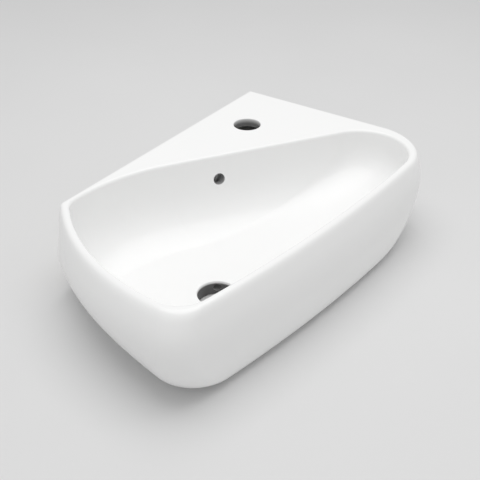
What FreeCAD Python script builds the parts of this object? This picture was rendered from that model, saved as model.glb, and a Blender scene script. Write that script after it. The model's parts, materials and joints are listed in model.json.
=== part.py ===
import FreeCAD, Part
import math
import os
import Sketcher
from FreeCAD import Placement, Rotation, Vector

# A corner wash basin in glazed vitreous china, with the bolts that hang it on two walls.
#
# The origin is the top back corner of the basin, where the two walls meet at deck level.
# The side wall is the plane x = 0, the back wall is the plane y = 0, and Z points up.
# The basin fills +X and -Y, so every depth below the deck is a negative z.
# Lengths are in millimetres and angles in degrees.

doc = FreeCAD.newDocument("corner_basin")

DIMENSIONS = (
    # outer form, seen from above
    ("free_side_reach", 305.5, "corner to the free long side, measured square to that side"),
    ("free_side_angle", 7.1, "how far the free side closes towards the front"),
    ("free_side_radius", 1764.0, "slight outward curve of the free side"),
    ("free_side_middle", 230.0, "where along the free side its reach is measured"),
    ("front_centre_x", 214.8, "centre of the long front curve, from the side wall"),
    ("front_centre_y", 172.5, "centre of the long front curve, from the back wall"),
    ("front_radius", 301.0, "radius of the long front curve"),
    ("front_radius_low", 1338.0, "the same curve at the underside, much flatter"),
    ("front_angle", 108.1, "where that curve keeps its place as it flattens, clockwise from +X"),
    ("front_corner_radius", 31.0, "corner between the front curve and the free side"),
    ("front_corner_radius_low", 42.5, "the same corner at the underside"),
    ("back_corner_radius", 67.0, "corner between the free side and the back wall"),
    ("back_corner_radius_low", 158.5, "the same corner at the underside"),
    # outer form, seen from the side
    ("body_height", 111.0, "deck to underside"),
    ("round_closing", 1.2, "how far under the underside the side rounds would close"),
    ("front_round", 81.5, "radius from the front wall into the underside"),
    ("free_side_round", 23.2, "radius from the free side into the underside"),
    ("crest_inset_free", 9.5, "how far the rim's crest lies inside the widest line, free side"),
    ("crest_inset_front", 6.5, "the same at the front curve, where it meets the side wall"),
    ("crest_shift_x", 11.5, "shift of the front curve's centre at the crest, to the side wall"),
    ("crest_shift_y", 11.9, "shift of that centre at the crest, to the back wall"),
    ("crest_round", 3.5, "round from the rim's crest into the outside"),
    ("crest_flat", 0.6, "level strip along the crest, between its two rounds"),
    ("lean_height", 42.0, "depth over which the outside leans out below the crest"),
    ("corner_spread_depth", 25.0, "depth at which the corners start to widen"),
    ("corner_spread_power", 2.43, "how late the widening sets in"),
    ("wall_trim", 0.1, "china ground off each wall face to make it flat"),
    # bowl
    ("bowl_back_reach", 164.0, "corner to the bowl's back wall, measured square to that wall"),
    ("bowl_back_angle", 56.7, "direction of the bowl's back wall, from the back wall's"),
    ("rim_width_wall", 4.5, "rim between the side wall and the bowl"),
    ("rim_width_back", 13.3, "rim between the back wall and the bowl's narrow end"),
    ("bowl_side_radius", 220.0, "curve of the bowl's edge beside the side wall"),
    ("bowl_end_radius", 24.0, "round of the bowl where the front meets the side wall"),
    ("bowl_front_corner_radius", 34.0, "round of the bowl in the front corner"),
    ("bowl_front_corner_radius_low", 36.0, "the same round at the bowl's floor"),
    ("bowl_back_corner_widening", 0.2, "how much wider the round of its narrow back end gets"),
    ("bowl_depth", 88.0, "deck to the outer edge of the bowl's floor"),
    ("bowl_back_round", 68.0, "radius from the bowl's back wall into its floor"),
    ("bowl_front_round", 46.0, "radius from the bowl's front wall into its floor"),
    ("bowl_free_round", 45.0, "radius from the bowl's free side into its floor"),
    ("rim_round", 3.5, "radius of the rim's inner edge"),
    # waste, tap and overflow holes
    ("waste_x", 164.0, "waste hole from the side wall"),
    ("waste_y", 310.0, "waste hole from the back wall"),
    ("waste_diameter", 45.0, "waste hole"),
    ("waste_fall", 5.0, "fall of the floor towards the waste hole"),
    ("waste_edge_round", 1.5, "rounded edge of the waste hole"),
    ("tap_x", 56.0, "tap hole from the side wall"),
    ("tap_y", 91.0, "tap hole from the back wall"),
    ("tap_diameter", 35.0, "tap hole"),
    ("tap_edge_round", 1.5, "rounded edge of the tap hole"),
    ("overflow_depth", 33.0, "deck to the middle of the overflow hole"),
    ("overflow_along", 111.0, "overflow hole along the bowl's back wall"),
    ("overflow_diameter", 14.0, "overflow hole"),
    ("overflow_edge_round", 1.0, "rounded edge of the overflow hole"),
    ("duct_diameter", 9.5, "bore of the overflow duct"),
    ("duct_wall", 4.0, "china round the overflow duct"),
    ("duct_floor_depth", 102.0, "deck to the middle of the duct under the floor"),
    # hollow under the deck
    ("deck_thickness", 11.0, "thickness of the tap deck"),
    ("flange_thickness", 13.0, "thickness of the two wall flanges"),
    ("bowl_wall", 11.0, "thickness of the bowl's back wall"),
    ("hollow_end", 235.0, "back wall to the front end of the hollow"),
    ("hollow_corner_radius", 9.0, "corner rounds of the hollow under the deck"),
    ("hollow_free_radius", 12.0, "its corner towards the free side, under the deck"),
    ("hollow_free_radius_low", 74.0, "the same corner at the underside"),
    # wall fixings
    ("fixing_reach", 118.0, "wall fixing from the corner of the walls"),
    ("fixing_depth", 62.0, "deck to the wall fixings"),
    ("bolt_diameter", 10.0, "hanger bolt"),
    ("bolt_stand_out", 36.0, "hanger bolt in front of the wall"),
    ("bolt_embedment", 58.0, "hanger bolt inside the wall"),
    ("bolt_root_diameter", 8.0, "wood screw end of the hanger bolt"),
    ("bolt_point_length", 9.0, "tapered point of the hanger bolt"),
    ("bolt_point_diameter", 2.0, "blunt tip of that point"),
    ("sleeve_diameter", 15.0, "plastic sleeve in the flange"),
    ("sleeve_collar_diameter", 26.0, "collar of the sleeve"),
    ("sleeve_collar", 3.0, "thickness of that collar"),
    ("washer_diameter", 24.0, "steel washer"),
    ("washer_thickness", 2.0, "thickness of the washer"),
    ("nut_width", 17.0, "nut across its flats"),
    ("nut_thickness", 8.0, "height of the nut"),
    ("plug_diameter", 14.0, "wall plug"),
    ("plug_length", 65.0, "length of the wall plug"),
    ("plug_slot", 2.0, "slot that lets the plug spread"),
    ("plug_slot_start", 15.0, "solid length of the plug in front of its slot"),
    ("fit_clearance", 0.15, "gap on each side between pieces that fit"),
)

# Heights at which the outer form's cross-sections are drawn.
CREST_ANGLES = (0.0, 30.0, 60.0, 90.0)
LEAN_SHARES = (0.3, 0.65)
ROUND_ANGLES = (0.0, 22.0, 42.0, 56.0, 66.0, 74.0, 80.0)


def make_sheet():
    sheet = doc.addObject("Spreadsheet::Sheet", "Sizes")
    for row, (alias, value, meaning) in enumerate(DIMENSIONS, start=1):
        sheet.set("A%d" % row, alias)
        sheet.set("B%d" % row, str(value))
        sheet.setAlias("B%d" % row, alias)
        sheet.set("C%d" % row, meaning)
    doc.recompute()
    return sheet


SHEET = make_sheet()


def worth(formula):
    """The number that a formula on the sheet's cells has now."""
    value = SHEET.evalExpression(str(formula))
    return float(getattr(value, "Value", value))


def cell(alias):
    return "Sizes." + alias


def new_body(label):
    body = doc.addObject("PartDesign::Body", label)
    body.Label = label
    return body


def origin_plane(body, role):
    for feature in body.Origin.OriginFeatures:
        if feature.Role == role:
            return feature
    raise ValueError(role)


def new_sketch(body, name, role="XY_Plane", height="0"):
    """A sketch on one of the body's planes, moved along that plane's normal."""
    sketch = body.newObject("Sketcher::SketchObject", name)
    sketch.AttachmentSupport = [(origin_plane(body, role), "")]
    sketch.MapMode = "FlatFace"
    sketch.setExpression(".AttachmentOffset.Base.z", height)
    return sketch


def bind(sketch, kind, *place, formula):
    """Add a dimension to a sketch and tie it to a formula."""
    degrees = kind == "Angle"
    value = math.radians(worth(formula)) if degrees else worth(formula)
    index = sketch.addConstraint(Sketcher.Constraint(kind, *place, value))
    sketch.setExpression("Constraints[%d]" % index, formula + " * 1 deg" if degrees else formula)


def unit(degrees):
    return Vector(math.cos(math.radians(degrees)), math.sin(math.radians(degrees)), 0)


def bearing(centre, point):
    return math.atan2(point.y - centre.y, point.x - centre.x)


def arc(centre, radius, start, end):
    circle = Part.Circle(centre, Vector(0, 0, 1), radius)
    return Part.ArcOfCircle(circle, start, end)


def on_line_at_distance(normal, reach, centre, distance, along):
    """The point at reach along normal, at a distance from centre, on the side of along."""
    foot = centre + normal * (reach - centre.dot(normal))
    half = math.sqrt(distance ** 2 - (foot - centre).Length ** 2)
    return foot + along * half


def between_circles(centre_a, distance_a, centre_b, distance_b, left):
    """The point at two distances from two centres, left or right of the line a to b."""
    step = centre_b - centre_a
    gap = step.Length
    ahead = (distance_a ** 2 - distance_b ** 2 + gap ** 2) / (2 * gap)
    aside = math.sqrt(distance_a ** 2 - ahead ** 2)
    side = Vector(-step.y, step.x, 0) / gap
    return centre_a + step * (ahead / gap) + side * (aside if left else -aside)


def quarter_inset(radius, depth, closing_depth):
    """Formula: how far a quarter round has drawn in at a depth."""
    start = "(%s - %s)" % (closing_depth, radius)
    drawn = "%s - sqrt(%s^2 - (%s - %s)^2)" % (radius, radius, depth, start)
    return "(%s > %s ? %s : 0)" % (depth, start, drawn)


# ---------------------------------------------------------------- outer form

OUTER_CLOSING = "(Sizes.body_height + Sizes.round_closing)"


def outer_levels():
    """Formulas for each cross-section's depth and for its inset by the crest's round."""
    levels = []
    for angle in CREST_ANGLES:
        rise = 1 - math.cos(math.radians(angle))
        draw = 1 - math.sin(math.radians(angle))
        levels.append(("(Sizes.crest_round * %.6f)" % rise, "Sizes.crest_round * %.6f" % draw))
    start = "(%s - Sizes.front_round)" % OUTER_CLOSING
    for share in LEAN_SHARES:
        levels.append(("(Sizes.crest_round + (%s - Sizes.crest_round) * %.2f)" % (start, share), "0"))
    for angle in ROUND_ANGLES:
        share = math.sin(math.radians(angle)) / math.sin(math.radians(ROUND_ANGLES[-1]))
        depth = "(%s + (Sizes.body_height - %s) * %.6f)" % (start, start, share)
        levels.append((depth, "0"))
    return levels


def spread(alias, depth):
    """Formula: a radius that widens from its cell to the cell ending in _low."""
    share = "((%s - Sizes.corner_spread_depth) / (Sizes.body_height - Sizes.corner_spread_depth))" % depth
    wider = "(Sizes.%s_low - Sizes.%s) * %s^Sizes.corner_spread_power" % (alias, alias, share)
    return "(Sizes.%s + (%s > Sizes.corner_spread_depth ? %s : 0))" % (alias, depth, wider)


def lean(depth):
    """Formula: 1 at the crest, falling to 0 where the outside has leant out to its widest."""
    return "(%s < Sizes.lean_height ? (1 - %s / Sizes.lean_height)^2 : 0)" % (depth, depth)


def front_centre(share):
    """Formulas for the middle of the front curve, by its share of the crest's shift."""
    x = "(Sizes.front_centre_x - Sizes.crest_shift_x * %s)" % share
    y = "(Sizes.front_centre_y - Sizes.crest_shift_y * %s)" % share
    return x, y


def front_circle(inset, radius, share):
    """Formulas for the front curve's centre: x from the side wall, y from the back wall."""
    back_step = "(Sizes.front_radius - (%s) - %s)" % (inset, radius)
    x, y = front_centre(share)
    return ("(%s + %s * cos(Sizes.front_angle * 1 deg))" % (x, back_step),
            "(%s + %s * sin(Sizes.front_angle * 1 deg))" % (y, back_step))


def free_circle(inset):
    """Formulas for the free side's centre: how far behind the side wall, how far from the back wall."""
    step = "(Sizes.free_side_reach - (%s) - Sizes.free_side_radius)" % inset
    lean = "Sizes.free_side_angle * 1 deg"
    x = "(0 - %s * cos(%s) + Sizes.free_side_middle * sin(%s))" % (step, lean, lean)
    y = "(%s * sin(%s) + Sizes.free_side_middle * cos(%s))" % (step, lean, lean)
    return x, y


def outer_inset(side, depth, roll):
    """Formula: how far one side of a cross-section lies inside the widest line."""
    rounding = {"free": "Sizes.free_side_round", "front": "Sizes.front_round"}[side]
    drawn = quarter_inset(rounding, depth, OUTER_CLOSING)
    return "%s + Sizes.crest_inset_%s * %s + %s" % (roll, side, lean(depth), drawn)


def outer_section(body, name, depth, roll):
    """One closed cross-section: side wall, front curve, corner, free side, corner, back wall."""
    free_inset = outer_inset("free", depth, roll)
    front_inset = outer_inset("front", depth, roll)
    front = spread("front_radius", depth)
    front_x, front_y = front_circle(front_inset, front, lean(depth))
    free_x, free_y = free_circle(free_inset)
    free = "Sizes.free_side_radius"
    near_corner = spread("front_corner_radius", depth)
    far_corner = spread("back_corner_radius", depth)

    big = Vector(worth(front_x), -worth(front_y), 0)
    long = Vector(-worth(free_x), -worth(free_y), 0)
    near = between_circles(big, worth(front) - worth(near_corner),
                           long, worth(free) - worth(near_corner), left=True)
    trim = worth(cell("wall_trim"))
    far_drop = worth(far_corner) - trim + long.y
    far_x = long.x + math.sqrt((worth(free) - worth(far_corner)) ** 2 - far_drop ** 2)
    far = Vector(far_x, trim - worth(far_corner), 0)
    wall_end = Vector(-trim, big.y - math.sqrt(worth(front) ** 2 - (big.x + trim) ** 2), 0)
    near_turn = bearing(long, near)
    far_turn = bearing(long, far)

    sketch = new_sketch(body, name, height="-" + depth)
    sketch.addGeometry([
        Part.LineSegment(Vector(-trim, trim, 0), wall_end),
        arc(big, worth(front), bearing(big, wall_end), bearing(big, near)),
        arc(near, worth(near_corner), bearing(big, near), near_turn),
        arc(long, worth(free), near_turn, far_turn),
        arc(far, worth(far_corner), far_turn, math.pi / 2),
        Part.LineSegment(Vector(far.x, trim, 0), Vector(-trim, trim, 0)),
    ], False)
    sketch.addConstraint([
        Sketcher.Constraint("Coincident", 0, 2, 1, 1),
        Sketcher.Constraint("Tangent", 1, 2, 2, 1),
        Sketcher.Constraint("Tangent", 2, 2, 3, 1),
        Sketcher.Constraint("Tangent", 3, 2, 4, 1),
        Sketcher.Constraint("Tangent", 4, 2, 5, 1),
        Sketcher.Constraint("Coincident", 5, 2, 0, 1),
        Sketcher.Constraint("Vertical", 0),
        Sketcher.Constraint("Horizontal", 5),
    ])
    bind(sketch, "Radius", 1, formula=front)
    bind(sketch, "Radius", 2, formula=near_corner)
    bind(sketch, "Radius", 3, formula=free)
    bind(sketch, "Radius", 4, formula=far_corner)
    bind(sketch, "DistanceX", 0, 1, -1, 1, formula=cell("wall_trim"))
    bind(sketch, "DistanceY", -1, 1, 0, 1, formula=cell("wall_trim"))
    place_centre(sketch, 1, big, front_x, front_y)
    place_centre(sketch, 3, long, "(0 - %s)" % free_x, free_y)
    return sketch


def place_centre(sketch, edge, centre, x, y):
    """Tie an arc's centre to its formulas: x from the side wall, y from the back wall."""
    if centre.x > 0:
        bind(sketch, "DistanceX", -1, 1, edge, 3, formula=x)
    else:
        bind(sketch, "DistanceX", edge, 3, -1, 1, formula="(0 - %s)" % x)
    if centre.y < 0:
        bind(sketch, "DistanceY", edge, 3, -1, 1, formula=y)
    else:
        bind(sketch, "DistanceY", -1, 1, edge, 3, formula="(0 - %s)" % y)


def loft(body, kind, name, sections, ruled=False):
    feature = body.newObject("PartDesign::" + kind, name)
    feature.Profile = sections[0]
    feature.Sections = sections[1:]
    feature.Ruled = ruled
    for section in sections:
        section.Visibility = False
    return feature


def make_outer_form(body):
    sections = []
    for number, (depth, roll) in enumerate(outer_levels()):
        sections.append(outer_section(body, "outer_%02d" % number, depth, roll))
    doc.recompute()
    loft(body, "AdditiveLoft", "outer_form", sections)
    reach = "Sizes.front_centre_y + Sizes.front_radius"
    block = dict(z="0 - Sizes.body_height - Sizes.deck_thickness",
                 Height="Sizes.body_height + 2 * Sizes.deck_thickness")
    primitive(body, "SubtractiveBox", "side_wall_face", "XY_Plane", "0 - Sizes.flange_thickness",
              "0 - (%s)" % reach, Length="Sizes.flange_thickness",
              Width="%s + Sizes.flange_thickness" % reach, **block)
    primitive(body, "SubtractiveBox", "back_wall_face", "XY_Plane", "0 - Sizes.flange_thickness", "0",
              Length="%s + Sizes.flange_thickness" % reach, Width="Sizes.flange_thickness", **block)


# ---------------------------------------------------------------- bowl

BOWL_CLOSING = "(Sizes.bowl_depth + Sizes.round_closing)"
BOWL_ANGLES = (0.0, 22.0, 42.0, 58.0, 70.0, 80.0)
RIM = "(Sizes.crest_inset_%s + Sizes.crest_round + Sizes.crest_flat + Sizes.rim_round)"


def bowl_levels():
    """Formulas for the depth of each cross-section of the bowl, the first one above the deck."""
    start = "(%s - Sizes.bowl_back_round)" % BOWL_CLOSING
    levels = ["(0 - Sizes.rim_round)"]
    for angle in BOWL_ANGLES:
        share = math.sin(math.radians(angle)) / math.sin(math.radians(BOWL_ANGLES[-1]))
        levels.append("(%s + (Sizes.bowl_depth - %s) * %.6f)" % (start, start, share))
    return levels


def bowl_corner(alias, depth):
    """Formula: a corner radius of the bowl on its way to the cell ending in _low."""
    share = "((%s > 0 ? %s : 0) / Sizes.bowl_depth)" % (depth, depth)
    return "(Sizes.%s + (Sizes.%s_low - Sizes.%s) * %s)" % (alias, alias, alias, share)


def back_end_radius(depth):
    """Formula: the round between the bowl's back wall and free side that keeps the rim's width."""
    angle = "Sizes.bowl_back_angle * 1 deg"
    free_x = "(Sizes.free_side_radius - %s - %s)" % (RIM % "free", free_circle("0")[0])
    room = "(%s * sin(%s) + Sizes.rim_width_back * cos(%s) - Sizes.bowl_back_reach)" % (free_x, angle, angle)
    widest = "(%s / (1 + sin(%s) - cos(%s)))" % (room, angle, angle)
    share = "((%s > 0 ? %s : 0) / Sizes.bowl_depth)" % (depth, depth)
    return "(%s * (1 + Sizes.bowl_back_corner_widening * %s))" % (widest, share)


def bowl_section(body, name, depth):
    """One closed cross-section: front, corner, free side, back end, back wall, side, end."""
    free_inset = quarter_inset("Sizes.bowl_free_round", depth, BOWL_CLOSING)
    front_inset = quarter_inset("Sizes.bowl_front_round", depth, BOWL_CLOSING)
    back_inset = quarter_inset("Sizes.bowl_back_round", depth, BOWL_CLOSING)
    front = "(Sizes.front_radius - %s - %s)" % (RIM % "front", front_inset)
    free = "(Sizes.free_side_radius - %s - %s)" % (RIM % "free", free_inset)
    front_x, front_y = front_centre("1")
    free_x, free_y = free_circle("0")
    back = "(Sizes.bowl_back_reach + %s)" % back_inset
    wall = "(Sizes.rim_width_wall + %s)" % back_inset
    near_r = bowl_corner("bowl_front_corner_radius", depth)
    far_r = back_end_radius(depth)
    side_r = "Sizes.bowl_side_radius"
    end_r = "Sizes.bowl_end_radius"

    slant = worth(cell("bowl_back_angle"))
    inward = unit(slant - 90)
    big = Vector(worth(front_x), -worth(front_y), 0)
    long = Vector(-worth(free_x), -worth(free_y), 0)
    near = between_circles(big, worth(front) - worth(near_r),
                           long, worth(free) - worth(near_r), left=True)
    far = on_line_at_distance(inward, worth(back) + worth(far_r), long,
                              worth(free) - worth(far_r), unit(slant))
    side_x = worth(wall) + worth(side_r)
    side = Vector(side_x, (worth(back) + worth(side_r) - inward.x * side_x) / inward.y, 0)
    end = between_circles(big, worth(front) - worth(end_r),
                          side, worth(side_r) - worth(end_r), left=False)
    far_end = far - inward * worth(far_r)
    side_start = side - inward * worth(side_r)
    near_turn = bearing(long, near)
    far_turn = bearing(long, far)
    turn = bearing(side, end)
    full = 2 * math.pi

    sketch = new_sketch(body, name, height="-" + depth)
    sketch.addGeometry([
        arc(big, worth(front), bearing(big, end), bearing(big, near)),
        arc(near, worth(near_r), bearing(big, near), near_turn),
        arc(long, worth(free), near_turn, far_turn),
        arc(far, worth(far_r), far_turn, math.radians(slant + 90)),
        Part.LineSegment(far_end, side_start),
        arc(side, worth(side_r), math.radians(slant + 90), turn % full),
        arc(end, worth(end_r), turn % full, bearing(big, end) % full),
    ], False)
    for first in range(7):
        sketch.addConstraint(Sketcher.Constraint("Tangent", first, 2, (first + 1) % 7, 1))
    bind(sketch, "Radius", 0, formula=front)
    bind(sketch, "Radius", 1, formula=near_r)
    bind(sketch, "Radius", 2, formula=free)
    bind(sketch, "Radius", 3, formula=far_r)
    bind(sketch, "Radius", 5, formula=side_r)
    bind(sketch, "Radius", 6, formula=end_r)
    bind(sketch, "Angle", 4, formula="(Sizes.bowl_back_angle - 180)")
    bind(sketch, "Distance", -1, 1, 4, formula=back)
    bind(sketch, "DistanceX", -1, 1, 5, 3, formula="(%s + %s)" % (wall, side_r))
    place_centre(sketch, 0, big, front_x, front_y)
    place_centre(sketch, 2, long, "(0 - %s)" % free_x, free_y)
    return sketch


def make_bowl(body):
    sections = []
    for number, depth in enumerate(bowl_levels()):
        sections.append(bowl_section(body, "bowl_%02d" % number, depth))
    doc.recompute()
    bowl = loft(body, "SubtractiveLoft", "bowl", sections)
    doc.recompute()
    rim = bowl_section(body, "fall_rim", "Sizes.bowl_depth")
    mouth = new_sketch(body, "fall_mouth", height="-(Sizes.bowl_depth + Sizes.waste_fall)")
    radius = "Sizes.waste_diameter / 2 - 3"
    mouth.addGeometry(Part.Circle(plan_point("waste"), Vector(0, 0, 1), worth(radius)), False)
    bind(mouth, "Radius", 0, formula=radius)
    place_centre(mouth, 0, plan_point("waste"), cell("waste_x"), cell("waste_y"))
    doc.recompute()
    loft(body, "SubtractiveLoft", "floor_fall", [rim, mouth], ruled=True)
    return bowl


def plan_point(alias):
    return Vector(worth(cell(alias + "_x")), -worth(cell(alias + "_y")), 0)


# ---------------------------------------------------------------- hollow, duct and holes

HOLLOW_ANGLES = (0.0, 30.0, 50.0, 64.0, 76.0)


def hollow_levels():
    """Formulas for the hollow's cross-sections: depth, and corner to the bowl wall's rear."""
    start = "(%s - Sizes.bowl_back_round)" % BOWL_CLOSING
    rear = "(Sizes.bowl_back_round + Sizes.bowl_wall)"
    levels = [("Sizes.deck_thickness", "(Sizes.bowl_back_reach - Sizes.bowl_wall)")]
    for angle in HOLLOW_ANGLES:
        down = math.sin(math.radians(angle))
        away = 1 - math.cos(math.radians(angle))
        depth = "(%s + %s * %.6f)" % (start, rear, down)
        reach = "(Sizes.bowl_back_reach - Sizes.bowl_wall + %s * %.6f)" % (rear, away)
        levels.append((depth, reach))
    levels.append(("(Sizes.body_height + 5)", levels[-1][1]))
    return levels


def hollow_section(body, name, depth, reach):
    """Two flanges, a straight front end and the rear of the bowl's wall, with rounded corners."""
    low = "(%s / Sizes.body_height)^3" % depth
    wide = "(Sizes.hollow_free_radius + (Sizes.hollow_free_radius_low - Sizes.hollow_free_radius) * %s)" % low
    small = "Sizes.hollow_corner_radius"
    flange = worth(cell("flange_thickness"))
    end = -worth(cell("hollow_end"))
    slant = worth(cell("bowl_back_angle"))
    inward = unit(slant - 90)
    r, w = worth(small), worth(wide)

    corner = Vector(flange + r, -flange - r, 0)
    front = Vector(flange + r, end + r, 0)
    wall = Vector((worth(reach) - r - inward.y * (end + r)) / inward.x, end + r, 0)
    free = Vector((worth(reach) - w + inward.y * (flange + w)) / inward.x, -flange - w, 0)
    sketch = new_sketch(body, name, height="-" + depth)
    sketch.addGeometry([
        Part.LineSegment(corner - Vector(r, 0, 0), front - Vector(r, 0, 0)),
        arc(front, r, math.pi, 1.5 * math.pi),
        Part.LineSegment(front - Vector(0, r, 0), wall - Vector(0, r, 0)),
        arc(wall, r, 1.5 * math.pi, math.radians(slant + 270)),
        Part.LineSegment(wall + inward * r, free + inward * w),
        arc(free, w, math.radians(slant - 90), math.pi / 2),
        Part.LineSegment(free + Vector(0, w, 0), corner + Vector(0, r, 0)),
        arc(corner, r, math.pi / 2, math.pi),
    ], False)
    for first, second in ((0, 1), (1, 2), (2, 3), (3, 4), (4, 5), (5, 6), (6, 7), (7, 0)):
        sketch.addConstraint(Sketcher.Constraint("Tangent", first, 2, second, 1))
    sketch.addConstraint([
        Sketcher.Constraint("Vertical", 0),
        Sketcher.Constraint("Horizontal", 2),
        Sketcher.Constraint("Horizontal", 6),
    ])
    for corner_arc, radius in ((1, small), (3, small), (5, wide), (7, small)):
        bind(sketch, "Radius", corner_arc, formula=radius)
    bind(sketch, "DistanceX", -1, 1, 7, 3, formula="Sizes.flange_thickness + %s" % small)
    bind(sketch, "DistanceY", 7, 3, -1, 1, formula="Sizes.flange_thickness + %s" % small)
    bind(sketch, "DistanceY", 1, 3, -1, 1, formula="Sizes.hollow_end - %s" % small)
    bind(sketch, "Angle", 4, formula="Sizes.bowl_back_angle")
    bind(sketch, "Distance", -1, 1, 4, formula=reach)
    return sketch


def make_hollow(body):
    sections = []
    for number, (depth, reach) in enumerate(hollow_levels()):
        sections.append(hollow_section(body, "hollow_%02d" % number, depth, reach))
    doc.recompute()
    return loft(body, "SubtractiveLoft", "hollow", sections)


SLANT = "Sizes.bowl_back_angle * 1 deg"
DUCT_BEND = "(Sizes.duct_floor_depth - %s + Sizes.bowl_back_round)" % BOWL_CLOSING
DUCT_REACH = "(Sizes.bowl_back_reach + Sizes.bowl_back_round - %s)" % DUCT_BEND


def overflow_point(reach):
    """Formulas for x and y of the overflow's middle line at a reach from the corner."""
    x = "(%s * sin(%s) - Sizes.overflow_along * cos(%s))" % (reach, SLANT, SLANT)
    y = "(%s * cos(%s) + Sizes.overflow_along * sin(%s))" % (reach, SLANT, SLANT)
    return x, y


def place(feature, x="0", y="0", z="0"):
    """Tie an attached feature's offset to formulas."""
    feature.setExpression(".AttachmentOffset.Base.x", x)
    feature.setExpression(".AttachmentOffset.Base.y", y)
    feature.setExpression(".AttachmentOffset.Base.z", z)


def duct_path(body, name):
    """Down behind the bowl's back wall, round under its floor and level into the waste hole."""
    x, y = overflow_point(DUCT_REACH)
    across = "(Sizes.waste_x - %s)" % x
    forward = "(Sizes.waste_y - %s)" % y
    length = "sqrt(%s^2 + %s^2) - Sizes.waste_diameter / 2 + 4" % (across, forward)
    heading = "1 * atan2(%s; %s)" % (forward, across)
    start = "(%s - Sizes.bowl_back_round)" % BOWL_CLOSING

    bend = worth(DUCT_BEND)
    top = -worth(start)
    low = -worth(cell("duct_floor_depth"))
    sketch = body.newObject("Sketcher::SketchObject", name)
    sketch.AttachmentSupport = [(origin_plane(body, "XZ_Plane"), "")]
    sketch.MapMode = "FlatFace"
    sketch.AttachmentOffset = Placement(Vector(0, 0, 0), Rotation(Vector(0, 1, 0), -worth(heading)))
    place(sketch, x, "0", y)
    sketch.setExpression(".AttachmentOffset.Rotation.Angle", "0 deg - " + heading)
    sketch.addGeometry([
        arc(Vector(bend, top, 0), bend, math.pi, 1.5 * math.pi),
        Part.LineSegment(Vector(bend, low, 0), Vector(worth(length), low, 0)),
    ], False)
    sketch.addConstraint([
        Sketcher.Constraint("Tangent", 0, 2, 1, 1),
        Sketcher.Constraint("Horizontal", 1),
    ])
    bind(sketch, "DistanceX", -1, 1, 0, 3, formula=DUCT_BEND)
    bind(sketch, "Radius", 0, formula=DUCT_BEND)
    bind(sketch, "DistanceY", 0, 3, -1, 1, formula=start)
    bind(sketch, "DistanceY", 0, 1, -1, 1, formula=start)
    bind(sketch, "DistanceX", -1, 1, 1, 2, formula=length)
    return sketch


def duct_profile(body, name, radius):
    x, y = overflow_point(DUCT_REACH)
    sketch = new_sketch(body, name, height="-(%s - Sizes.bowl_back_round)" % BOWL_CLOSING)
    middle = Vector(worth(x), -worth(y), 0)
    sketch.addGeometry(Part.Circle(middle, Vector(0, 0, 1), worth(radius)), False)
    bind(sketch, "Radius", 0, formula=radius)
    place_centre(sketch, 0, middle, x, y)
    return sketch


def pipe(body, kind, name, radius):
    path = duct_path(body, name + "_path")
    profile = duct_profile(body, name + "_profile", radius)
    doc.recompute()
    feature = body.newObject("PartDesign::" + kind, name)
    feature.Profile = profile
    feature.Spine = (path, ["Edge1", "Edge2"])
    path.Visibility = False
    profile.Visibility = False
    return feature


def primitive(body, kind, name, role, x, y, z, **sizes):
    """A cylinder, cone, prism or box on one of the body's planes, sized by formulas."""
    feature = body.newObject("PartDesign::" + kind, name)
    feature.AttachmentSupport = [(origin_plane(body, role), "")]
    feature.MapMode = "FlatFace"
    place(feature, x, y, z)
    for size, formula in sizes.items():
        feature.setExpression(size, formula)
    return feature


def edge_names(shape, wanted):
    return ["Edge%d" % (number + 1) for number, edge in enumerate(shape.Edges) if wanted(edge)]


def cut_overflow(body):
    """A round hole square to the bowl's back wall, ending at the middle of the duct."""
    x, y = overflow_point(DUCT_REACH)
    hole = body.newObject("PartDesign::SubtractiveCylinder", "overflow")
    hole.AttachmentSupport = [(origin_plane(body, "YZ_Plane"), "")]
    hole.MapMode = "FlatFace"
    hole.AttachmentOffset = Placement(Vector(0, 0, 0), Rotation(Vector(0, 1, 0), 30.0))
    place(hole, "0 - " + y, "0 - Sizes.overflow_depth", x)
    hole.setExpression(".AttachmentOffset.Rotation.Angle", "(Sizes.bowl_back_angle - 90) * 1 deg")
    hole.setExpression("Radius", "Sizes.overflow_diameter / 2")
    hole.setExpression("Height", "Sizes.bowl_back_reach + 6 - %s" % DUCT_REACH)
    return hole


def bore_down(body, name, alias, top, bottom):
    """A vertical round hole between two depths."""
    return primitive(body, "SubtractiveCylinder", name, "XY_Plane", "Sizes.%s_x" % alias,
                     "0 - Sizes.%s_y" % alias, "0 - (%s)" % bottom,
                     Radius="Sizes.%s_diameter / 2" % alias, Height="%s - (%s)" % (bottom, top))


def cut_flange_hole(body, name, role, side):
    """A round hole through one wall flange, wide enough for its sleeve."""
    return primitive(body, "SubtractiveCylinder", name, role, side + "Sizes.fixing_reach",
                     "0 - Sizes.fixing_depth", "0 - 1",
                     Radius="Sizes.sleeve_diameter / 2 + Sizes.fit_clearance",
                     Height="Sizes.flange_thickness + 2")


def rim_edges(shape):
    """Names of the edges round the bowl's opening in the deck."""
    level = [face for face in shape.Faces if abs(face.BoundBox.ZMin) < 0.01 and face.BoundBox.ZLength < 0.01]
    deck = max(level, key=lambda face: face.Area)
    openings = [wire for wire in deck.Wires if not wire.isSame(deck.OuterWire)]
    bowl = max(openings, key=lambda wire: wire.BoundBox.DiagonalLength)
    return edge_names(shape, lambda edge: any(edge.isSame(other) for other in bowl.Edges))


def ring_edges(shape, alias, top, bottom):
    """Names of the edges on a vertical bore between two depths."""
    x, y = worth("Sizes.%s_x" % alias), -worth("Sizes.%s_y" % alias)
    radius = worth("Sizes.%s_diameter / 2" % alias)

    def wanted(edge):
        if edge.BoundBox.ZMax > -top or edge.BoundBox.ZMin < -bottom:
            return False
        first, last = edge.ParameterRange
        points = [edge.valueAt(first + (last - first) * part / 4) for part in range(5)]
        return all(abs(math.hypot(point.x - x, point.y - y) - radius) < 0.02 for point in points)

    return edge_names(shape, wanted)


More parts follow.
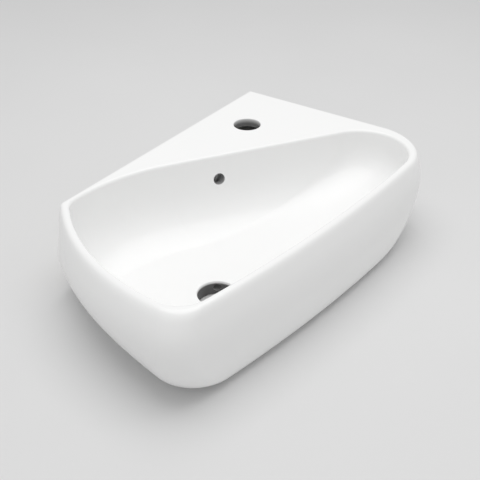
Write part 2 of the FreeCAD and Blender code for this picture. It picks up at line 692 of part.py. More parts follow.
def overflow_edges(shape):
    """Names of the edges where the overflow hole meets the bowl's back wall."""
    x, y = overflow_point("Sizes.bowl_back_reach")
    middle = Vector(worth(x), -worth(y), -worth("Sizes.overflow_depth"))
    radius = worth("Sizes.overflow_diameter / 2")

    def wanted(edge):
        first, last = edge.ParameterRange
        points = [edge.valueAt(first + (last - first) * part / 4) for part in range(5)]
        return all(abs((point - middle).Length - radius) < 0.6 for point in points)

    return edge_names(shape, wanted)


def fillet(body, name, radius, choose):
    """Round the chosen edges of the body's shape so far."""
    doc.recompute()
    base = body.Tip
    names = choose(base.Shape)
    if not names:
        raise ValueError("no edges for " + name)
    feature = body.newObject("PartDesign::Fillet", name)
    feature.Base = (base, names)
    feature.setExpression("Radius", radius)
    return feature


def make_basin():
    body = new_body("basin")
    make_outer_form(body)
    make_hollow(body)
    pipe(body, "AdditivePipe", "duct_rib", "Sizes.duct_diameter / 2 + Sizes.duct_wall")
    make_bowl(body)
    fillet(body, "rim_edge", "Sizes.rim_round", rim_edges)
    pipe(body, "SubtractivePipe", "duct", "Sizes.duct_diameter / 2")
    cut_overflow(body)
    bore_down(body, "waste_hole", "waste", "Sizes.bowl_depth / 2", "Sizes.body_height + Sizes.waste_fall")
    bore_down(body, "tap_hole", "tap", "0 - Sizes.tap_edge_round", "Sizes.deck_thickness + Sizes.tap_edge_round")
    cut_flange_hole(body, "back_wall_hole", "XZ_Plane", "")
    cut_flange_hole(body, "side_wall_hole", "YZ_Plane", "0 - ")
    fillet(body, "waste_edge", "Sizes.waste_edge_round",
           lambda shape: ring_edges(shape, "waste", worth("Sizes.bowl_depth"), worth("Sizes.bowl_depth") + 8))
    fillet(body, "tap_edge", "Sizes.tap_edge_round", lambda shape: ring_edges(shape, "tap", -0.1, 0.1))
    fillet(body, "overflow_edge", "Sizes.overflow_edge_round", overflow_edges)
    doc.recompute()
    return body


# ---------------------------------------------------------------- wall fixings

class Fixing:
    """One hanger bolt with its sleeve, washer, nut and wall plug, square to one wall.

    Distances along it are measured from the wall's surface into the room.
    """

    def __init__(self, wall, role, side):
        self.wall = wall
        self.role = role
        self.across = side + "Sizes.fixing_reach"

    def body(self, label):
        return new_body(self.wall + "_" + label)

    def add(self, body, kind, name, start, **sizes):
        return primitive(body, kind, name, self.role, self.across, "0 - Sizes.fixing_depth", start, **sizes)

    def hanger_bolt(self):
        body = self.body("hanger_bolt")
        self.add(body, "AdditiveCylinder", "machine_end", "0", Radius="Sizes.bolt_diameter / 2",
                 Height="Sizes.bolt_stand_out")
        self.add(body, "AdditiveCylinder", "wood_end", "Sizes.bolt_point_length - Sizes.bolt_embedment",
                 Radius="Sizes.bolt_root_diameter / 2", Height="Sizes.bolt_embedment - Sizes.bolt_point_length")
        self.add(body, "AdditiveCone", "point", "0 - Sizes.bolt_embedment",
                 Radius1="Sizes.bolt_point_diameter / 2", Radius2="Sizes.bolt_root_diameter / 2",
                 Height="Sizes.bolt_point_length")
        return body

    def sleeve(self):
        body = self.body("sleeve")
        self.add(body, "AdditiveCylinder", "tube", "0", Radius="Sizes.sleeve_diameter / 2",
                 Height="Sizes.flange_thickness + Sizes.sleeve_collar")
        self.add(body, "AdditiveCylinder", "collar", "Sizes.flange_thickness",
                 Radius="Sizes.sleeve_collar_diameter / 2", Height="Sizes.sleeve_collar")
        self.bore(body, "0 - 1", "Sizes.flange_thickness + Sizes.sleeve_collar + 2")
        return body

    def bore(self, body, start, length):
        return self.add(body, "SubtractiveCylinder", "bore", start,
                        Radius="Sizes.bolt_diameter / 2 + Sizes.fit_clearance", Height=length)

    def washer(self):
        body = self.body("washer")
        start = "Sizes.flange_thickness + Sizes.sleeve_collar"
        self.add(body, "AdditiveCylinder", "disc", start, Radius="Sizes.washer_diameter / 2",
                 Height="Sizes.washer_thickness")
        self.bore(body, start + " - 1", "Sizes.washer_thickness + 2")
        return body

    def nut(self):
        body = self.body("nut")
        start = "Sizes.flange_thickness + Sizes.sleeve_collar + Sizes.washer_thickness"
        block = self.add(body, "AdditivePrism", "hexagon", start,
                         Circumradius="Sizes.nut_width / sqrt(3)", Height="Sizes.nut_thickness")
        block.Polygon = 6
        self.bore(body, start + " - 1", "Sizes.nut_thickness + 2")
        return body

    def plug(self):
        body = self.body("plug")
        self.add(body, "AdditiveCylinder", "plug", "0 - Sizes.plug_length", Radius="Sizes.plug_diameter / 2",
                 Height="Sizes.plug_length")
        self.add(body, "SubtractiveCylinder", "bore", "0 - Sizes.bolt_embedment - 2",
                 Radius="Sizes.bolt_root_diameter / 2 + Sizes.fit_clearance", Height="Sizes.bolt_embedment + 3")
        slot = self.add(body, "SubtractiveBox", "slot", "0 - Sizes.plug_length - 1",
                        Length="Sizes.plug_slot", Width="Sizes.plug_diameter + 2",
                        Height="Sizes.plug_length - Sizes.plug_slot_start + 1")
        place(slot, self.across + " - Sizes.plug_slot / 2", "0 - Sizes.fixing_depth - Sizes.plug_diameter / 2 - 1",
              "0 - Sizes.plug_length - 1")
        return body

    def make(self):
        return [self.hanger_bolt(), self.sleeve(), self.washer(), self.nut(), self.plug()]


pieces = [make_basin()]
pieces += Fixing("back_wall", "XZ_Plane", "").make()
pieces += Fixing("side_wall", "YZ_Plane", "0 - ").make()
doc.recompute()

# ---------------------------------------------------------------- checks and files

for item in doc.Objects:
    if "Invalid" in item.State or "Error" in item.State:
        raise RuntimeError("%s did not build: %s" % (item.Name, item.State))

os.makedirs("parts", exist_ok=True)
for piece in pieces:
    if piece.Shape.isNull() or not piece.Shape.isValid() or len(piece.Shape.Solids) != 1:
        raise RuntimeError("%s is not one sound solid" % piece.Label)
    piece.Shape.exportStep("parts/%s.step" % piece.Label)
    box = piece.Shape.optimalBoundingBox()
    print(piece.Label, [round(value, 2) for value in (box.XMin, box.XMax, box.YMin, box.YMax, box.ZMin, box.ZMax)],
          round(piece.Shape.Volume / 1000, 2), "cm3")
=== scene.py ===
import json
import math

import bmesh
import bpy
from mathutils import Matrix, Vector


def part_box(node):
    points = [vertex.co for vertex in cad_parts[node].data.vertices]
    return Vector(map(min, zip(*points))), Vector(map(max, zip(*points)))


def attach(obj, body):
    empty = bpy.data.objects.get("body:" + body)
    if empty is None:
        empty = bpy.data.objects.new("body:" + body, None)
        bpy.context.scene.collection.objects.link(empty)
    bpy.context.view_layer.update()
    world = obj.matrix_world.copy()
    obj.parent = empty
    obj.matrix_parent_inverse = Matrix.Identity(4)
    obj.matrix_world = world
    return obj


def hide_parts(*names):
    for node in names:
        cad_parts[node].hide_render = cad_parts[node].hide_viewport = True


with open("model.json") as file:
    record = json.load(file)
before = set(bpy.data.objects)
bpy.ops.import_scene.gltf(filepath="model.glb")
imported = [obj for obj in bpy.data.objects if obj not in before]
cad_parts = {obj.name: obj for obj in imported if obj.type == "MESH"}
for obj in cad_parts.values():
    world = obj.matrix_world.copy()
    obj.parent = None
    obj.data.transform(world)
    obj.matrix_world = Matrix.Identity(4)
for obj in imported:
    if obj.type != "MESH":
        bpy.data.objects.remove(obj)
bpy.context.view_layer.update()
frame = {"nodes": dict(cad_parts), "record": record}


# ------------------------------------------------------------------ basin
# One fired piece of vitreous china, slip-cast in a plaster mould and sprayed with a white glaze.
# The wall faces and the foot are wiped bare before firing, so that it does not stick in the kiln.
# It hangs on two bolts, one in each wall.

MM = 0.001


class Field:
    """A value in a node tree. An expression on such values adds the tree's Math nodes."""

    def __init__(self, tree, socket):
        self.tree = tree
        self.socket = socket

    def math_node(self, operation, *values, clamp=False):
        """Add a Math node that works on the values, in this order."""
        node = self.tree.nodes.new("ShaderNodeMath")
        node.operation = operation
        node.use_clamp = clamp
        for socket, value in zip(node.inputs, values):
            feed(self.tree, socket, value)
        return Field(self.tree, node.outputs[0])

    def __add__(self, other):
        return self.math_node("ADD", self, other)

    __radd__ = __add__

    def __sub__(self, other):
        return self.math_node("SUBTRACT", self, other)

    def __rsub__(self, other):
        return self.math_node("SUBTRACT", other, self)

    def __neg__(self):
        return 0 - self

    def __mul__(self, other):
        return self.math_node("MULTIPLY", self, other)

    __rmul__ = __mul__

    def __truediv__(self, other):
        return self.math_node("DIVIDE", self, other)

    def __rtruediv__(self, other):
        return self.math_node("DIVIDE", other, self)

    def __lt__(self, other):
        return self.math_node("LESS_THAN", self, other)

    def __gt__(self, other):
        return self.math_node("GREATER_THAN", self, other)

    def lowest(self, other):
        return self.math_node("MINIMUM", self, other)

    def highest(self, other):
        return self.math_node("MAXIMUM", self, other)

    def apply(self, operation):
        """What an operation on this value alone gives, such as its cosine."""
        return self.math_node(operation, self)

    def ramp(self, start, end):
        """0 at start, 1 at end, straight between them and level past them."""
        return self.math_node("MULTIPLY", self - start, 1 / (end - start), clamp=True)


def feed(tree, socket, value):
    """Give a socket a link, a plain value, or a link from each value in a list."""
    if isinstance(value, Field):
        tree.links.new(value.socket, socket)
    elif isinstance(value, list):
        for one in value:
            feed(tree, socket, one)
    else:
        socket.default_value = value


class Recipe:
    """A node tree under construction."""

    def __init__(self, tree):
        self.tree = tree
        tree.nodes.clear()

    def raw(self, kind, settings=None, **sockets):
        """Add one node: its settings first, then its sockets, by name or as n0, n1 and so on."""
        node = self.tree.nodes.new(kind)
        for name, value in (settings or {}).items():
            setattr(node, name, value)
        for name, value in sockets.items():
            key = int(name[1:]) if name[1:].isdigit() else name.replace("_", " ")
            feed(self.tree, node.inputs[key], value)
        return node

    def node(self, kind, settings=None, output=0, **sockets):
        """Add one node and return one of its outputs."""
        return Field(self.tree, self.raw(kind, settings, **sockets).outputs[output])


class Finish(Recipe):
    """The material of one kind of surface, patterned by its place on the object."""

    def __init__(self, name):
        self.material = bpy.data.materials.new(name)
        self.material.use_nodes = True
        super().__init__(self.material.node_tree)
        self.place = self.node("ShaderNodeTexCoord", output="Object")

    def noise(self, per_metre, detail=2.0, roughness=0.5):
        """Soft noise round 0.5, with about this many lumps to a metre."""
        return self.node("ShaderNodeTexNoise", output="Fac", Vector=self.place,
                         Scale=per_metre, Detail=detail, Roughness=roughness)

    def mix(self, share, first, second):
        """A colour that goes from the first, at share 0, to the second, at share 1."""
        return self.node("ShaderNodeMix", {"data_type": "RGBA"}, output=2, n0=share, n6=first, n7=second)

    def bump(self, height, distance):
        return self.node("ShaderNodeBump", Height=height, Distance=distance)

    def surface(self, **sockets):
        """End the tree with the surface that these sockets describe."""
        shader = self.node("ShaderNodeBsdfPrincipled", **sockets)
        self.raw("ShaderNodeOutputMaterial", Surface=shader)
        return self.material


china = Finish("glazed_china")
split = china.raw("ShaderNodeSeparateXYZ", Vector=china.place)
x, y, z = (Field(china.tree, socket) for socket in split.outputs)
cloud = china.noise(per_metre=9.0)

# The china is bare on the foot, and on both wall faces below a wandering line of glaze.
GLAZE_LINE = -7 * MM            # height that the glaze comes down to on the wall faces
WANDER = 6 * MM                 # how much further down it may come
SKIN = 0.2 * MM                 # a point this close to a plane counts as on it
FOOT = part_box("basin")[0].z     # height of the plane that the basin's foot stands on
on_walls = (x < SKIN).highest(y > -SKIN)
below_glaze = (z + china.noise(per_metre=60.0, detail=3.0) * WANDER) < GLAZE_LINE
on_foot = z < (FOOT + SKIN)
bare = (on_walls * below_glaze).highest(on_foot)

GLAZE_GREY = (0.920, 0.922, 0.918, 1.0)
GLAZE_WHITE = (0.940, 0.940, 0.936, 1.0)
BARE_DARK = (0.70, 0.68, 0.64, 1.0)
BARE_LIGHT = (0.82, 0.80, 0.76, 1.0)
SPECK = (0.45, 0.40, 0.34, 1.0)
SPECK_SHARE = 0.5               # how much of its own colour a speck shows
SPECK_EDGE = (0.72, 0.78)       # the noise goes from plain china to a speck between these
grain = china.noise(per_metre=900.0, detail=4.0, roughness=0.6)
specks = china.noise(per_metre=420.0, detail=1.0).ramp(*SPECK_EDGE)
bare_colour = china.mix(grain, BARE_DARK, BARE_LIGHT)
bare_colour = china.mix(specks * SPECK_SHARE, bare_colour, SPECK)
colour = china.mix(bare, china.mix(cloud, GLAZE_GREY, GLAZE_WHITE), bare_colour)

# The holes are dark inside, and their walls take a grey as painted shade. Each row gives the hole,
# the grey of its painted shade, the depth over which it fades in, how far below the bore's middle
# it ends, and how much wider than the bore it gets below the mouth.
HOLE_PAINTED_SHADES = (
    ("tap_hole", 0.28, 5 * MM, 4.7 * MM, 0.0),
    ("waste_hole", 0.42, 2 * MM, 7.7 * MM, 16 * MM),      # the duct's end, beside the hole
    ("waste_hole", 0.12, 2 * MM, 7.7 * MM, 0.0),
    ("overflow_hole", 0.42, 2 * MM, 10 * MM, 6 * MM),
)
EDGE_ROUND = 0.6 * MM           # the painted shade starts this far below the mouth
WALL_MARGIN = 0.4 * MM          # and reaches this far past the bore's radius
WIDEN_FROM = 3 * MM             # it widens between these two depths below the mouth
WIDEN_TO = 5 * MM


def in_hole(mount, fade, end, widen):
    """1 inside one of the record's bores, 0 outside it."""
    dot_product = {"operation": "DOT_PRODUCT"}
    middle, axis = Vector(mount["pos_m"]), Vector(mount["axis"])
    radius, mouth = mount["dims"]["r_mm"] * MM, mount["dims"]["length_mm"] / 2 * MM
    offset = china.node("ShaderNodeVectorMath", {"operation": "SUBTRACT"}, n0=china.place, n1=middle)
    along = china.node("ShaderNodeVectorMath", dot_product, output="Value", n0=offset, n1=axis)
    square = china.node("ShaderNodeVectorMath", dot_product, output="Value", n0=offset, n1=offset)
    reach = along.ramp(mouth - WIDEN_FROM, mouth - WIDEN_TO) * widen + (radius + WALL_MARGIN)
    beside = (square - along * along) < (reach * reach)
    start = mouth - EDGE_ROUND
    return beside * along.ramp(start, start - fade) * (along > -end)


bores = {mount["name"]: mount for mount in frame["record"]["mounts"] if mount["kind"] == "bore"}
# Paint each hole's shade into the basin's colour, as a grey over its walls.
for hole, shade, fade, end, widen in HOLE_PAINTED_SHADES:
    colour = china.mix(in_hole(bores[hole], fade, end, widen), colour, (shade, shade, shade, 1.0))

GLAZE_ROUGHNESS = 0.20
CLOUD_ROUGHNESS = 0.06          # added where the glaze is cloudy
BARE_ROUGHNESS = 0.55           # added where the china is bare
RELIEF = 0.4 * MM               # height of the whole bump, which these two take shares of
GLAZE_SHARE = 0.10
BARE_SHARE = 0.25
glaze_flow = china.noise(per_metre=38.0) * (1 - bare)
basin = frame["nodes"]["basin"]
basin.data.materials[0] = china.surface(
    Base_Color=colour,
    Roughness=GLAZE_ROUGHNESS + cloud * CLOUD_ROUGHNESS + bare * BARE_ROUGHNESS,
    IOR=1.52,
    Specular_IOR_Level=0.35,
    Normal=china.bump(glaze_flow * GLAZE_SHARE + grain * bare * BARE_SHARE, RELIEF),
)


# ------------------------------------------------------------------ wall plugs
# Two grey nylon plugs pushed into 14 mm holes in the walls. Each is moulded in one piece with a
# plain neck, four ribs that stop it turning, barbs, and a slot that lets its end spread.

SEAM = 0.001 * MM                   # points of a rod's grid closer than this are joined


class Form(Recipe):
    """A geometry node tree that makes one kind of piece from its named sizes."""

    def __init__(self, name, sizes):
        super().__init__(bpy.data.node_groups.new(name, "GeometryNodeTree"))
        face = self.tree.interface
        face.new_socket("Geometry", in_out="OUTPUT", socket_type="NodeSocketGeometry")
        self.given = {}
        for size, value in sizes.items():
            socket = face.new_socket(size, in_out="INPUT", socket_type="NodeSocketFloat")
            self.given[socket.identifier] = value
        group = self.raw("NodeGroupInput")
        self.size = {size: Field(self.tree, group.outputs[size]) for size in sizes}

    def rod_grid(self, steps, rows):
        """A unit grid to wrap into a rod, with steps round it and rows along it.

        It returns the grid, its turn and its way along, both from 0 to 1, and a mask that is 0 on
        the first and last rows, which are for the middles of the two end faces.
        """
        grid = self.node("GeometryNodeMeshGrid", Size_X=1.0, Size_Y=1.0,
                         Vertices_X=steps + 1, Vertices_Y=rows)
        split = self.raw("ShaderNodeSeparateXYZ", Vector=self.node("GeometryNodeInputPosition"))
        turn, along = (Field(self.tree, split.outputs[axis]) + 0.5 for axis in (0, 1))
        row = 1 / (rows - 1)
        inside = (along > row / 2) * (along < 1 - row / 2)
        return grid, turn, along.ramp(row, 1 - row), inside

    def wrap(self, grid, turn, radius, height):
        """Bend the grid into a rod of the given radius, and close its seam and its ends."""
        angle = turn * math.tau
        place = self.node("ShaderNodeCombineXYZ", X=radius * angle.apply("COSINE"),
                          Y=radius * angle.apply("SINE"), Z=height)
        rod = self.node("GeometryNodeSetPosition", Geometry=grid, Position=place)
        return self.node("GeometryNodeMergeByDistance", Geometry=rod, Distance=SEAM)

    def end(self, shape, material):
        """End the tree with this shape, in this material."""
        whole = self.node("GeometryNodeRealizeInstances", Geometry=shape)
        done = self.node("GeometryNodeSetMaterial", Geometry=whole, Material=material)
        self.raw("NodeGroupOutput", Geometry=done)

    def piece(self, name):
        """A plain mesh object made by the tree."""
        holder = bpy.data.objects.new(name, bpy.data.meshes.new(name))
        bpy.context.scene.collection.objects.link(holder)
        maker = holder.modifiers.new(name, "NODES")
        maker.node_group = self.tree
        for identifier, value in self.given.items():
            maker[identifier] = value
        graph = bpy.context.evaluated_depsgraph_get()
        mesh = bpy.data.meshes.new_from_object(holder.evaluated_get(graph), depsgraph=graph)
        holder.modifiers.remove(maker)
        holder.data = mesh
        return holder


WALLS = ("back_wall", "side_wall")
DOUBLES = 0.0005 * MM               # points closer than this are one point
SHARP_ANGLE = math.radians(32)      # an edge that turns more than this is not smoothed


def wall_place(wall):
    """From a fixing's own frame, +Z into the room and +Y up, to its place in the wall."""
    low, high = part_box(wall + "_hanger_bolt")
    middle = (low + high) / 2
    if wall == "back_wall":
        turn = Matrix(((1, 0, 0), (0, 0, -1), (0, 1, 0)))
        middle.y = 0
    else:
        turn = Matrix(((0, 0, 1), (1, 0, 0), (0, 1, 0)))
        middle.x = 0
    return Matrix.Translation(middle) @ turn.to_4x4()


def fit(piece, wall, kind):
    """Set a piece in its wall, face outwards, and let it stand for its CAD node."""
    shape = bmesh.new()
    shape.from_mesh(piece.data)
    bmesh.ops.remove_doubles(shape, verts=shape.verts, dist=DOUBLES)
    bmesh.ops.recalc_face_normals(shape, faces=shape.faces)
    shape.transform(wall_place(wall))
    shape.to_mesh(piece.data)
    shape.free()
    piece.data.shade_smooth()
    piece.data.set_sharp_from_angle(angle=SHARP_ANGLE)
    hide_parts(wall + "_" + kind)
    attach(piece, "root")


WOOD_THREAD = 4 * MM                # radius of the wood thread that the plug takes
CLEARANCE = 0.15 * MM               # a side, between a bolt and what it passes through
PLUG = {
    "Length": 65 * MM,
    "Radius": 7 * MM,
    "Bore Radius": WOOD_THREAD + CLEARANCE,
    "Bore Length": 60 * MM,
    "Lip Length": 1.2 * MM,
    "Lip Height": 0.4 * MM,
    "Neck": 12 * MM,
    "Relief": 0.45 * MM,            # how far the neck and the nose lie inside the radius
    "Rib Start": 2 * MM,
    "Rib End": 11 * MM,
    "Barb Pitch": 4.5 * MM,
    "Barb Depth": 0.9 * MM,
    "Nose": 8 * MM,
    "Nose Slope": 0.28,
    "Slot Width": 2 * MM,
    "Slot Start": 15 * MM,
}
RIBS = 4
RIB_LIMIT = 0.86                    # a rib stands where its wave, 1 at its middle, is above this
BORE_STEPS = 48
SLOT_SPAN = 3                       # the slot's cutter is this many radii across, to pass through

NYLON_DARK_GREY = (0.155, 0.162, 0.172, 1.0)
NYLON_MID_GREY = (0.205, 0.212, 0.222, 1.0)
GREY_ROUGHNESS = 0.42
FLOW_ROUGHNESS = 0.16               # added where the melt's flow shows
FLOW_RELIEF = 0.06 * MM             # height of the bump
FINE_SHARE = 0.3                    # share of fine grain in a nylon piece's bump
grey = Finish("grey_nylon")
flow = grey.noise(per_metre=160.0, detail=3.0)
grey_nylon = grey.surface(
    Base_Color=grey.mix(flow, NYLON_DARK_GREY, NYLON_MID_GREY),
    Roughness=GREY_ROUGHNESS + flow * FLOW_ROUGHNESS,
    Normal=grey.bump(flow + grey.noise(per_metre=1400.0) * FINE_SHARE, FLOW_RELIEF),
)

plug = Form("ribbed_plug", PLUG)
size = plug.size
grid, turn, along, inside = plug.rod_grid(steps=96, rows=180)
deep = (1 - along) * size["Length"]
nose_start = size["Length"] - size["Nose"]
in_barbs = (deep > size["Neck"]) * (deep < nose_start)
barb = ((deep - size["Neck"]) / size["Barb Pitch"]).apply("FRACT")
rib = (turn * (RIBS * math.tau)).apply("COSINE") > RIB_LIMIT
stop_rib = rib * (deep > size["Rib Start"]) * (deep < size["Rib End"])
relief = (1 - in_barbs) * (1 - stop_rib) * size["Relief"] + in_barbs * (1 - barb) * size["Barb Depth"]
taper = (deep - nose_start).highest(0.0) * size["Nose Slope"]
lip = (deep < size["Lip Length"]) * size["Lip Height"]
radius = (size["Radius"] - relief - taper + lip).lowest(size["Radius"])
rod = plug.wrap(grid, turn, radius * inside, -deep)
bore = plug.node("GeometryNodeMeshCylinder", Vertices=BORE_STEPS, Radius=size["Bore Radius"],
                 Depth=size["Bore Length"] * 2)
slot_size = plug.node("ShaderNodeCombineXYZ", X=size["Slot Width"], Y=size["Radius"] * SLOT_SPAN,
                      Z=size["Length"])
slot_place = plug.node("ShaderNodeCombineXYZ", Z=-(size["Length"] / 2 + size["Slot Start"]))
slot = plug.node("GeometryNodeMeshCube", Size=slot_size)
slot = plug.node("GeometryNodeTransform", Geometry=slot, Translation=slot_place)
hollow = plug.node("GeometryNodeMeshBoolean", {"operation": "DIFFERENCE"}, n0=rod, n1=[bore, slot])
plug.end(hollow, grey_nylon)
for wall in WALLS:
    fit(plug.piece(wall + "_ribbed_plug"), wall, "plug")


# ------------------------------------------------------------------ hanger bolts
# Two zinc-plated steel hanger bolts, screwed into the plugs by their wood thread. The other end
# has an M10 thread, rolled, that stands out of the wall and carries the basin.

BOLT = {
    "Stand Out": 36 * MM,           # from the wall's face to the end in the room
    "Embedment": 58 * MM,           # from the wall's face to the point
    "Radius": 5 * MM,
    "Machine Pitch": 1.5 * MM,
    "Machine Depth": 0.92 * MM,
    "End Chamfer": 1.2 * MM,
    "Shank": 5 * MM,                # the plain length behind the wall's face
    "Wood Radius": WOOD_THREAD,
    "Wood Pitch": 3.6 * MM,
    "Wood Depth": 1.15 * MM,
    "Point Length": 9 * MM,
    "Tip Radius": 1 * MM,
}
MACHINE_SHARPNESS = 1.0             # 1 gives ridges that meet at their roots
WOOD_SHARPNESS = 2.6                # more gives thin ridges with a plain root between them

STEEL_BLUE = (0.56, 0.58, 0.61, 1.0)
STEEL_YELLOW = (0.68, 0.67, 0.64, 1.0)
STEEL_ROUGHNESS = 0.24
BLOTCH_ROUGHNESS = 0.16             # added where the zinc is yellow
BRUSH_ROUGHNESS = 0.08              # added by the fine texture
BRUSH_RELIEF = 0.03 * MM
steel = Finish("zinc_steel")
blotch = steel.noise(per_metre=70.0, detail=3.0)
brush = steel.noise(per_metre=1100.0)
zinc_steel = steel.surface(
    Base_Color=steel.mix(blotch, STEEL_BLUE, STEEL_YELLOW),
    Roughness=STEEL_ROUGHNESS + blotch * BLOTCH_ROUGHNESS + brush * BRUSH_ROUGHNESS,
    Metallic=1.0,
    Normal=steel.bump(brush, BRUSH_RELIEF),
)


def groove(turns, sharpness):
    """How deep a single-start thread is after so many turns, 0 on its crest and 1 at its root."""
    from_crest = (turns.apply("FRACT") * 2 - 1).apply("ABSOLUTE")
    return (from_crest * sharpness).lowest(1.0)


bolt = Form("hanger_bolt", BOLT)
size = bolt.size
grid, turn, along, inside = bolt.rod_grid(steps=32, rows=480)
height = along * (size["Stand Out"] + size["Embedment"]) - size["Embedment"]
machine_groove = groove(height / size["Machine Pitch"] - turn, MACHINE_SHARPNESS)
machine = size["Radius"] - machine_groove * size["Machine Depth"]
chamfer = size["Radius"] - size["End Chamfer"] + (size["Stand Out"] - height)
wood_groove = groove(height / size["Wood Pitch"] - turn, WOOD_SHARPNESS) * (height < -size["Shank"])
wood = size["Wood Radius"] - wood_groove * size["Wood Depth"]
point = ((height + size["Embedment"]) / size["Point Length"]).lowest(1.0)
pointed = size["Tip Radius"] + (wood - size["Tip Radius"]) * point
in_room = height > 0.0
radius = machine.lowest(chamfer) * in_room + pointed * (1 - in_room)
bolt.end(bolt.wrap(grid, turn, radius * inside, height), zinc_steel)
for wall in WALLS:
    fit(bolt.piece(wall + "_threaded_bolt"), wall, "hanger_bolt")


# ------------------------------------------------------------------ sleeves
# A collared sleeve of white nylon in each wall flange. It keeps the steel off the china, so that
# the nut can be drawn up without cracking it.

def turned(name, steps, outline):
    """A ring-shaped piece. outline(angle) lists its section's (radius, height) points, in order."""
    shape = bmesh.new()
    sections = []
    for step in range(steps):
        angle = math.tau * step / steps
        sections.append([shape.verts.new((radius * math.cos(angle), radius * math.sin(angle), height))
                         for radius, height in outline(angle)])
    for one, other in zip(sections, sections[1:] + sections[:1]):
        for index in range(len(one)):
            shape.faces.new((one[index - 1], one[index], other[index], other[index - 1]))
    piece = bpy.data.objects.new(name, bpy.data.meshes.new(name))
    shape.to_mesh(piece.data)
    shape.free()
    bpy.context.scene.collection.objects.link(piece)
    return piece


def rounded(points, radius, arcs=3):
    """The closed outline through points, with every corner rounded."""
    result = []
    for index, corner in enumerate(points):
        corner = Vector(corner)
        before, after = Vector(points[index - 1]), Vector(points[(index + 1) % len(points)])
        start = corner + (before - corner).normalized() * radius
        end = corner + (after - corner).normalized() * radius
        for share in (step / arcs for step in range(arcs + 1)):
            result.append(start.lerp(corner, share).lerp(corner.lerp(end, share), share))
    return result


FLANGE = 13 * MM                    # thickness of the basin's wall flange
BORE = BOLT["Radius"] + CLEARANCE   # radius inside sleeve, washer and nut
SLEEVE_RADIUS = 7.5 * MM
COLLAR_RADIUS = 13 * MM
COLLAR = 3 * MM                     # thickness of the collar
SLEEVE_EDGE = 0.5 * MM              # round on the moulded edges
RING_STEPS = 64
sleeve_section = rounded([(BORE, 0), (SLEEVE_RADIUS, 0), (SLEEVE_RADIUS, FLANGE), (COLLAR_RADIUS, FLANGE),
                          (COLLAR_RADIUS, FLANGE + COLLAR), (BORE, FLANGE + COLLAR)], SLEEVE_EDGE)

NYLON_CREAM = (0.78, 0.78, 0.75, 1.0)
NYLON_WHITE = (0.86, 0.86, 0.84, 1.0)
WHITE_ROUGHNESS = 0.38
MILK_ROUGHNESS = 0.14               # added where the nylon is whiter
MILK_RELIEF = 0.05 * MM
GLOW_DEPTH = 2 * MM                 # how far light spreads inside the nylon
white = Finish("white_nylon")
milk = white.noise(per_metre=90.0, detail=3.0)
white_nylon = white.surface(
    Base_Color=white.mix(milk, NYLON_CREAM, NYLON_WHITE),
    Roughness=WHITE_ROUGHNESS + milk * MILK_ROUGHNESS,
    Subsurface_Weight=0.2,
    Subsurface_Radius=(GLOW_DEPTH, GLOW_DEPTH, GLOW_DEPTH),
    Normal=white.bump(milk + white.noise(per_metre=1500.0) * FINE_SHARE, MILK_RELIEF),
)

for wall in WALLS:
    sleeve = turned(wall + "_collared_sleeve", RING_STEPS, lambda angle: sleeve_section)
    sleeve.data.materials.append(white_nylon)
    fit(sleeve, wall, "sleeve")


# ------------------------------------------------------------------ washers
# A steel washer lies on each sleeve's collar and spreads the nut's load over the nylon. It is
# punched, which leaves its edges rounded, and then zinc plated.

WASHER_RADIUS = 12 * MM
WASHER = 2 * MM                     # thickness of the washer
WASHER_EDGE = 0.45 * MM
washer_start = FLANGE + COLLAR
washer_end = washer_start + WASHER
washer_section = rounded([(BORE, washer_start), (WASHER_RADIUS, washer_start),
                          (WASHER_RADIUS, washer_end), (BORE, washer_end)], WASHER_EDGE)

for wall in WALLS:
    washer = turned(wall + "_round_washer", RING_STEPS, lambda angle: washer_section)
    washer.data.materials.append(zinc_steel)
    fit(washer, wall, "washer")


# ------------------------------------------------------------------ nuts
# A hexagon nut of zinc-plated steel, 17 mm across its flats, draws the basin to each wall. Its
# corners are turned off to a cone on both faces, and its bore is countersunk.

NUT_WIDTH = 17 * MM                 # across the flats
NUT = 8 * MM                        # thickness of the nut
NUT_FACE = 8 * MM                   # radius of the flat ring on each face
CONE = math.tan(math.radians(30))   # slope of the cone past that ring
SINK = 0.7 * MM                     # depth of the countersink
NUT_STEPS = 72                      # a multiple of 12, so that each corner and flat gets a section
HEXAGON_SIDE = math.radians(60)


def nut_section(angle):
    """The nut's section at this turn, which reaches out to a flat or a corner."""
    reach = NUT_WIDTH / 2 / math.cos(angle % HEXAGON_SIDE - HEXAGON_SIDE / 2)
    drop = (reach - NUT_FACE) * CONE
    start, end = washer_end, washer_end + NUT
    return [(BORE, start + SINK), (BORE + SINK, start), (NUT_FACE, start), (reach, start + drop),
            (reach, end - drop), (NUT_FACE, end), (BORE + SINK, end), (BORE, end - SINK)]


for wall in WALLS:
    nut = turned(wall + "_hexagon_nut", NUT_STEPS, nut_section)
    nut.data.materials.append(zinc_steel)
    fit(nut, wall, "nut")


# ------------------------------------------------------------------ studio
# A plain pale floor under the basin, one large soft light above it and an even pale surround.
# The camera looks down at the front corner, from right of the middle, as in the photo.

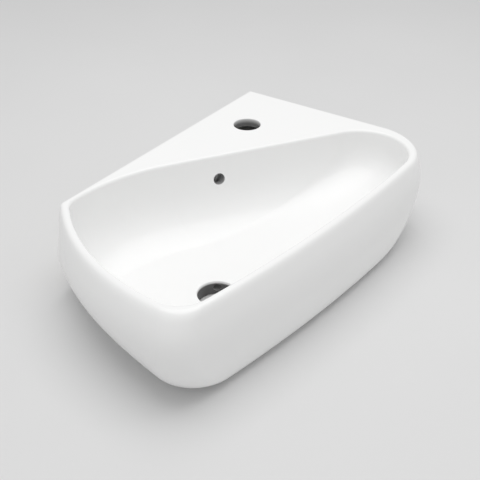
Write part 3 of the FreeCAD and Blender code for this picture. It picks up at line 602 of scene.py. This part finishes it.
FLOOR_HALF = 3.0                    # half the floor's side
FLOOR_GAP = 0.5 * MM                # between the floor and the basin's foot
FLOOR_CORNERS = ((-1, -1), (1, -1), (1, 1), (-1, 1))
FLOOR_DARK = (0.71, 0.71, 0.71, 1.0)
FLOOR_LIGHT = (0.75, 0.75, 0.75, 1.0)
level = FOOT - FLOOR_GAP
floor_mesh = bpy.data.meshes.new("floor")
floor_mesh.from_pydata([(side * FLOOR_HALF, end * FLOOR_HALF, level) for side, end in FLOOR_CORNERS],
                       [], [(0, 1, 2, 3)])
floor = bpy.data.objects.new("floor", floor_mesh)
bpy.context.scene.collection.objects.link(floor)
ground = Finish("pale_floor")
floor_mesh.materials.append(ground.surface(
    Base_Color=ground.mix(ground.noise(per_metre=3.0), FLOOR_DARK, FLOOR_LIGHT),
    Roughness=0.6,
))

SURROUND_COLOUR = (1.0, 1.0, 1.0, 1.0)
SURROUND_STRENGTH = 0.60
surround = bpy.data.worlds.new("surround")
surround.use_nodes = True
sky = surround.node_tree.nodes["Background"]
sky.inputs["Color"].default_value = SURROUND_COLOUR
sky.inputs["Strength"].default_value = SURROUND_STRENGTH
bpy.context.scene.world = surround

LAMP_SIDE = 1.6
LAMP_POWER = 15.0                   # in watts
LAMP_PLACE = Vector((0.16, -0.14, 1.60))
LAMP_AIM = Vector((0.14, -0.24, 0.0))
lamp = bpy.data.lights.new("overhead", "AREA")
lamp.shape = "SQUARE"
lamp.size = LAMP_SIDE
lamp.energy = LAMP_POWER
overhead = bpy.data.objects.new("overhead", lamp)
overhead.location = LAMP_PLACE
overhead.rotation_euler = (LAMP_AIM - LAMP_PLACE).to_track_quat("-Z", "Y").to_euler()
bpy.context.scene.collection.objects.link(overhead)

CAMERA_PLACE = (0.5896, -0.8837, 0.4575)
AZIMUTH = math.radians(34.5)        # how far the view turns to the left of +Y
TILT = math.radians(33.83)          # how far it looks down
FOCAL_LENGTH = 60.0                 # in millimetres, as Blender takes both of these
SENSOR_WIDTH = 36.0
lens = bpy.data.cameras.new("camera")
lens.lens = FOCAL_LENGTH
lens.sensor_width = SENSOR_WIDTH
camera = bpy.data.objects.new("camera", lens)
camera.location = CAMERA_PLACE
forward = Vector((-math.sin(AZIMUTH) * math.cos(TILT), math.cos(AZIMUTH) * math.cos(TILT), -math.sin(TILT)))
camera.rotation_euler = forward.to_track_quat("-Z", "Y").to_euler()
bpy.context.scene.collection.objects.link(camera)
bpy.context.scene.camera = camera
bpy.context.scene.view_settings.view_transform = "Standard"
